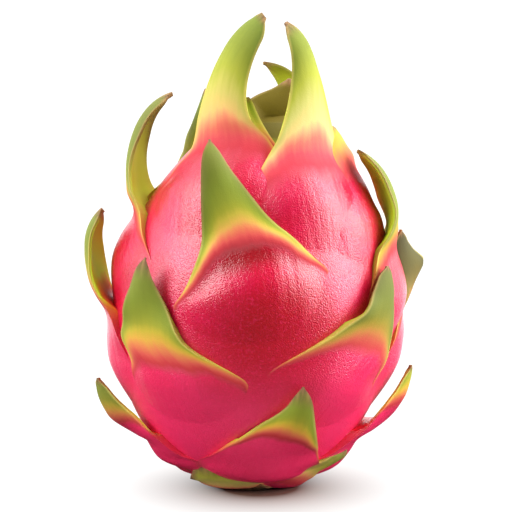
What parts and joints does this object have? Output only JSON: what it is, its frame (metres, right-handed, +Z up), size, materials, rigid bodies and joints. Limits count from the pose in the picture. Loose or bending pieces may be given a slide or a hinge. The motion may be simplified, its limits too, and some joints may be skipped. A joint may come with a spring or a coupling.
{
  "type": "dragon fruit",
  "caption": "Whole dragon fruit standing on its stem end: an egg-shaped pink body with fleshy scales whose free green tips curve up and away from it.",
  "frame": {"origin": "middle of the flat spot at the stem end, on the surface the fruit stands on", "axes": "+Z up from the stem end to the crown; -Y is the front, the side of the scale in the middle of the third whorl; +X is to the right seen from the front"},
  "size_m": [0.1008, 0.0932, 0.1403],
  "materials": {
    "rind": "smooth waxy skin of a ripe fruit, crimson on the body, yellow-green towards the tips of the scales",
    "stem": "dry brown cut end of the stem"
  },
  "bodies": {
    "root": {"fruit": "rind", "stem_stub": "stem"}
  },
  "joints": []
}
